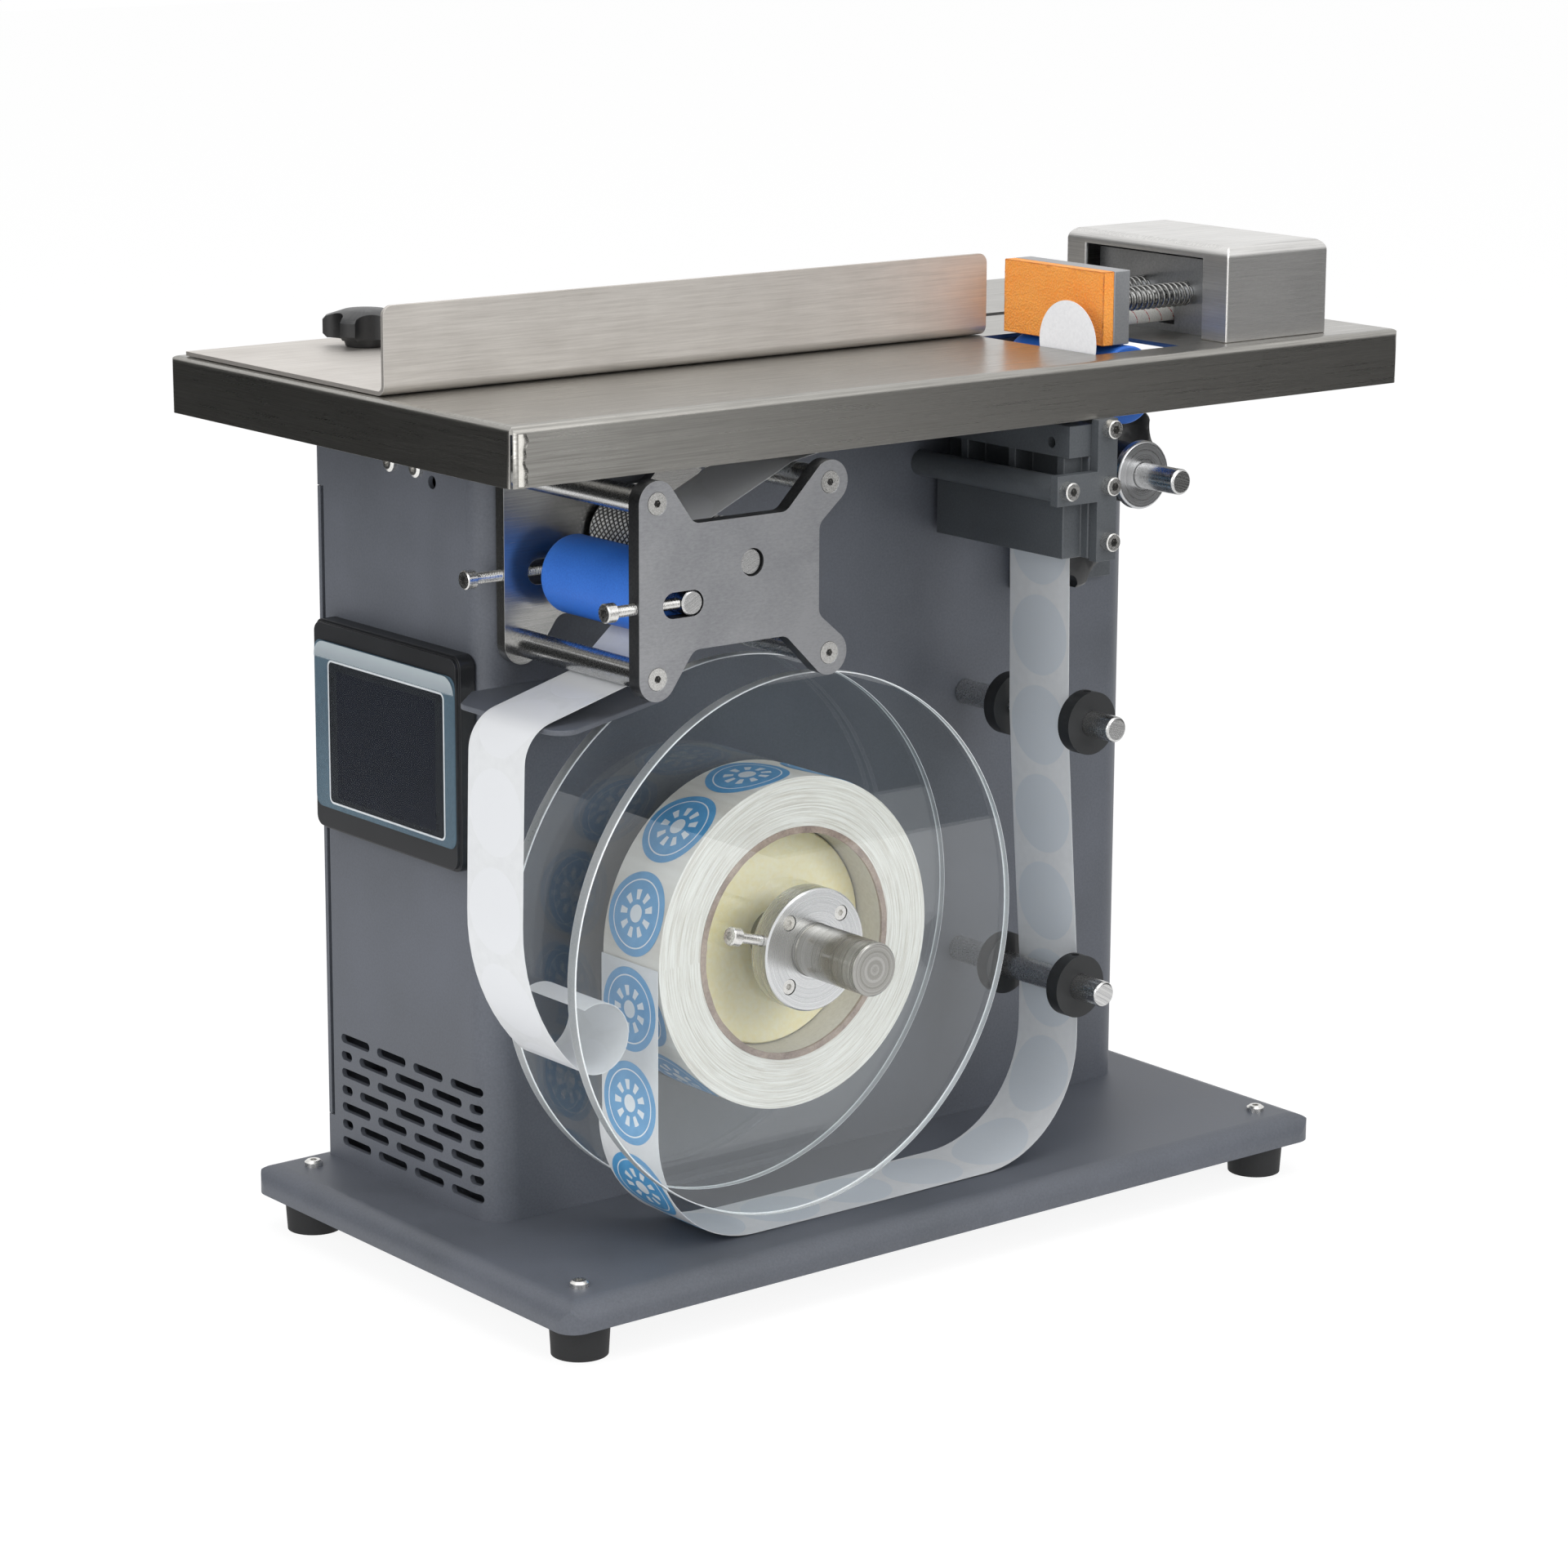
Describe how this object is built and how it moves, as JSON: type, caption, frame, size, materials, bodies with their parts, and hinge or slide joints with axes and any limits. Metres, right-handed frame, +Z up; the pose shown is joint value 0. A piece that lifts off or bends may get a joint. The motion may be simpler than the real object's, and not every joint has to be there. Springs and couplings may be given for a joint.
{
  "type": "automatic labeling machine",
  "caption": "Bench-top labeling machine with table, fence, sprung pressing pad, peel head, label reel between clear discs, guide posts, roller station, column and base",
  "frame": {"origin": "on the floor under the middle of the bounding box", "axes": "X right along the product path, Y to the back of the machine, Z up"},
  "size_m": [0.43, 0.255, 0.3765],
  "materials": {
    "slate_coat": "slate grey fine-textured powder coat",
    "foot_rubber": "matte",
    "screw_steel": "zinc plated",
    "panel_plastic": "fine texture",
    "screen": "smooth display window",
    "black_plastic": "moulded black",
    "machined_aluminium": "turned and milled",
    "motor_black": "black enamel",
    "belt_rubber": "matte",
    "stainless_sheet": "brushed along the length",
    "bright_steel": "ground and bright",
    "knurled_steel": "knurled",
    "orange_foam": "open-cell foam",
    "braided_sleeve": "woven",
    "blue_rubber": "smooth moulded rubber",
    "paper": "coated paper web",
    "core_card": "wound brown card",
    "clear_acrylic": "clear polished",
    "cream_nylon": "turned nylon"
  },
  "bodies": {
    "machine_frame": {"base_plate": "slate_coat", "column_housing": "slate_coat", "rear_cover": "slate_coat", "head_angle": "slate_coat", "head_front_plate": "slate_coat", "peel_bar": "slate_coat", "liner_deflector": "slate_coat", "rubber_feet": "foot_rubber", "housing_screws": "screw_steel", "head_screws": "screw_steel", "plate_screws": "screw_steel", "hmi_bezel": "panel_plastic", "hmi_screen": "screen", "power_inlet": "black_plastic", "guide_collars_rear": "black_plastic", "reel_bearing": "machined_aluminium", "press_bracket": "machined_aluminium", "roller_bracket": "machined_aluminium", "inner_plate": "machined_aluminium", "outer_plate": "machined_aluminium", "drive_motor": "motor_black", "drive_belt": "belt_rubber", "table_top": "stainless_sheet", "press_box": "stainless_sheet", "press_springs": "bright_steel", "guide_posts": "bright_steel", "spacer_rods": "bright_steel", "head_rods": "bright_steel", "liner_web": "paper", "label_web": "paper", "standing_label": "paper"},
    "reel": {"reel_shaft": "bright_steel", "rear_disc": "clear_acrylic", "front_disc": "clear_acrylic", "core_hub": "cream_nylon", "paper_core": "core_card", "label_roll": "paper", "clamp_collar": "machined_aluminium", "collar_screws": "screw_steel"},
    "drive_shaft": {"drive_roller": "knurled_steel", "drive_pulley": "machined_aluminium"},
    "motor_rotor": {"motor_pulley": "machined_aluminium"},
    "pinch_carriage": {"pinch_axle": "bright_steel", "tension_screws": "screw_steel"},
    "pinch_sleeve": {"pinch_roller": "blue_rubber"},
    "sliding_fence": {"fence": "stainless_sheet"},
    "clamp_knob": {"fence_knob": "black_plastic"},
    "press_pad": {"pad_plate": "machined_aluminium", "foam_pad": "orange_foam", "press_rods": "bright_steel", "pad_lead": "braided_sleeve"},
    "table_drum": {"table_roller": "blue_rubber", "table_roller_axle": "bright_steel"},
    "guide_drum": {"guide_roller": "black_plastic", "roller_flange": "machined_aluminium"},
    "upper_knob": {"head_knob_upper": "black_plastic"},
    "lower_knob": {"head_knob_lower": "black_plastic"},
    "upper_collar": {"guide_collar_upper": "black_plastic"},
    "lower_collar": {"guide_collar_lower": "black_plastic"},
    "power_switch": {"rocker": "black_plastic"}
  },
  "joints": [
    {"name": "reel_spin", "type": "hinge", "parent": "machine_frame", "child": "reel", "pos_m": [-0.0815, -0.0625, 0.1345], "axis": [0, 1, 0], "continuous": true},
    {"name": "drive_spin", "type": "hinge", "parent": "machine_frame", "child": "drive_shaft", "pos_m": [-0.1151, -0.0525, 0.2829], "axis": [0, 1, 0], "continuous": true},
    {"name": "motor_spin", "type": "hinge", "parent": "machine_frame", "child": "motor_rotor", "pos_m": [-0.1151, 0.0125, 0.2085], "axis": [0, 1, 0], "continuous": true},
    {"name": "pinch_slide", "type": "slide", "parent": "machine_frame", "child": "pinch_carriage", "axis": [-1, 0, 0], "range_m": [0, 0.008]},
    {"name": "pinch_spin", "type": "hinge", "parent": "pinch_carriage", "child": "pinch_sleeve", "pos_m": [-0.14158, -0.0525, 0.27133], "axis": [0, 1, 0], "continuous": true},
    {"name": "fence_slide", "type": "slide", "parent": "machine_frame", "child": "sliding_fence", "axis": [0, -1, 0], "range_m": [0, 0.028]},
    {"name": "fence_knob_turn", "type": "hinge", "parent": "sliding_fence", "child": "clamp_knob", "pos_m": [-0.15, 0.0935, 0.36], "axis": [0, 0, 1], "continuous": true},
    {"name": "press_slide", "type": "slide", "parent": "machine_frame", "child": "press_pad", "axis": [1, 0, 0], "range_m": [0, 0.012], "stiffness_N_per_m": 600, "springref_m": -0.005, "deforming": ["press_springs"]},
    {"name": "table_roller_spin", "type": "hinge", "parent": "machine_frame", "child": "table_drum", "pos_m": [0.087, -0.0445, 0.3255], "axis": [0, 1, 0], "continuous": true},
    {"name": "guide_roller_spin", "type": "hinge", "parent": "machine_frame", "child": "guide_drum", "pos_m": [0.087, -0.0565, 0.292], "axis": [0, 1, 0], "continuous": true},
    {"name": "upper_knob_turn", "type": "hinge", "parent": "machine_frame", "child": "upper_knob", "pos_m": [0.1145, -0.0425, 0.298], "axis": [0, 1, 0], "continuous": true},
    {"name": "lower_knob_turn", "type": "hinge", "parent": "machine_frame", "child": "lower_knob", "pos_m": [0.0875, -0.0425, 0.256], "axis": [0, 1, 0], "continuous": true},
    {"name": "upper_collar_slide", "type": "slide", "parent": "machine_frame", "child": "upper_collar", "axis": [0, -1, 0], "range_m": [-0.001, 0.012]},
    {"name": "lower_collar_slide", "type": "slide", "parent": "machine_frame", "child": "lower_collar", "axis": [0, -1, 0], "range_m": [-0.001, 0.012]},
    {"name": "rocker_tilt", "type": "hinge", "parent": "machine_frame", "child": "power_switch", "pos_m": [0.088, 0.0945, 0.086], "axis": [1, 0, 0], "range_deg": [0, 12]}
  ],
  "couplings": [
    {"joint": "motor_spin", "follows": "drive_spin", "ratio": 1.3333},
    {"joint": "pinch_spin", "follows": "drive_spin", "ratio": -0.92414}
  ]
}
